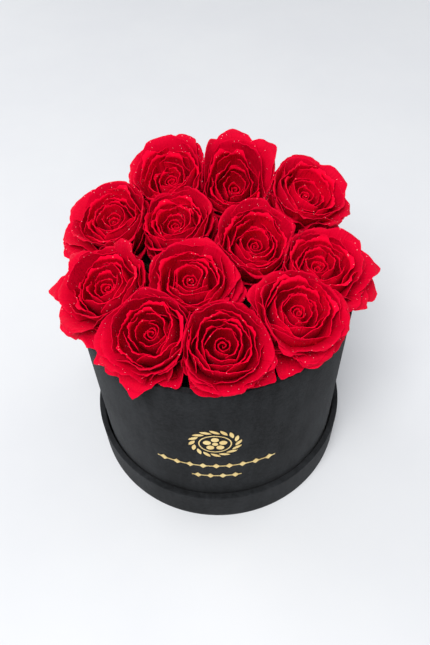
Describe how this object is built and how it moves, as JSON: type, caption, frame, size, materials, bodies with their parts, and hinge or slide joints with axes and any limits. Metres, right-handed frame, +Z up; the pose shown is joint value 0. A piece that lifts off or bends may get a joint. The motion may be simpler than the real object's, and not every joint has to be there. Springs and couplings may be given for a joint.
{
  "type": "preserved rose box",
  "caption": "Round suede-covered gift box packed with a domed mound of preserved red rose heads, standing in its own upturned shallow lid.",
  "frame": {"origin": "on the box's axis, at the underside of the upturned lid, where the object stands on the table", "axes": "+Z up along the box's axis, -Y towards the foil emblem on the front of the wall, +X to the right when looking at the emblem"},
  "size_m": [0.191, 0.1949, 0.1984],
  "materials": {
    "black_suede": "short nap suede paper, matt",
    "grey_board": "bare grey board",
    "black_lining": "smooth black lining paper",
    "gold_foil": "hot-pressed gold foil, satin",
    "floral_foam": "dry fine-celled black floral foam",
    "rose_petal": "preserved petal, velvety with fine glitter",
    "rose_heart": "preserved petal, velvety",
    "rose_green": "preserved calyx, dry and matt",
    "stem_pick": "green-dyed stem, matt"
  },
  "bodies": {
    "lid_tray": {"lid_face_cover": "black_suede", "lid_panel": "grey_board", "lid_wall": "grey_board", "lid_wall_cover": "black_suede", "lid_lining": "black_lining"},
    "flower_box": {"box_base_cover": "black_suede", "box_base": "grey_board", "box_wall": "grey_board", "box_wall_cover": "black_suede", "box_lining": "black_lining", "foam_block": "floral_foam", "foil_emblem": "gold_foil", "rose_01_stem": "stem_pick", "rose_01_calyx": "rose_green", "rose_01_heart": "rose_heart", "rose_01_petals": "rose_petal", "rose_02_stem": "stem_pick", "rose_02_calyx": "rose_green", "rose_02_heart": "rose_heart", "rose_02_petals": "rose_petal", "rose_03_stem": "stem_pick", "rose_03_calyx": "rose_green", "rose_03_heart": "rose_heart", "rose_03_petals": "rose_petal", "rose_04_stem": "stem_pick", "rose_04_calyx": "rose_green", "rose_04_heart": "rose_heart", "rose_04_petals": "rose_petal", "rose_05_stem": "stem_pick", "rose_05_calyx": "rose_green", "rose_05_heart": "rose_heart", "rose_05_petals": "rose_petal", "rose_06_stem": "stem_pick", "rose_06_calyx": "rose_green", "rose_06_heart": "rose_heart", "rose_06_petals": "rose_petal", "rose_07_stem": "stem_pick", "rose_07_calyx": "rose_green", "rose_07_heart": "rose_heart", "rose_07_petals": "rose_petal", "rose_08_stem": "stem_pick", "rose_08_calyx": "rose_green", "rose_08_heart": "rose_heart", "rose_08_petals": "rose_petal", "rose_09_stem": "stem_pick", "rose_09_calyx": "rose_green", "rose_09_heart": "rose_heart", "rose_09_petals": "rose_petal", "rose_10_stem": "stem_pick", "rose_10_calyx": "rose_green", "rose_10_heart": "rose_heart", "rose_10_petals": "rose_petal", "rose_11_stem": "stem_pick", "rose_11_calyx": "rose_green", "rose_11_heart": "rose_heart", "rose_11_petals": "rose_petal", "rose_12_stem": "stem_pick", "rose_12_calyx": "rose_green", "rose_12_heart": "rose_heart", "rose_12_petals": "rose_petal"}
  },
  "joints": [
    {"name": "box_lift", "type": "slide", "parent": "lid_tray", "child": "flower_box", "axis": [0, 0, 1], "range_m": [0, 0.045]}
  ]
}
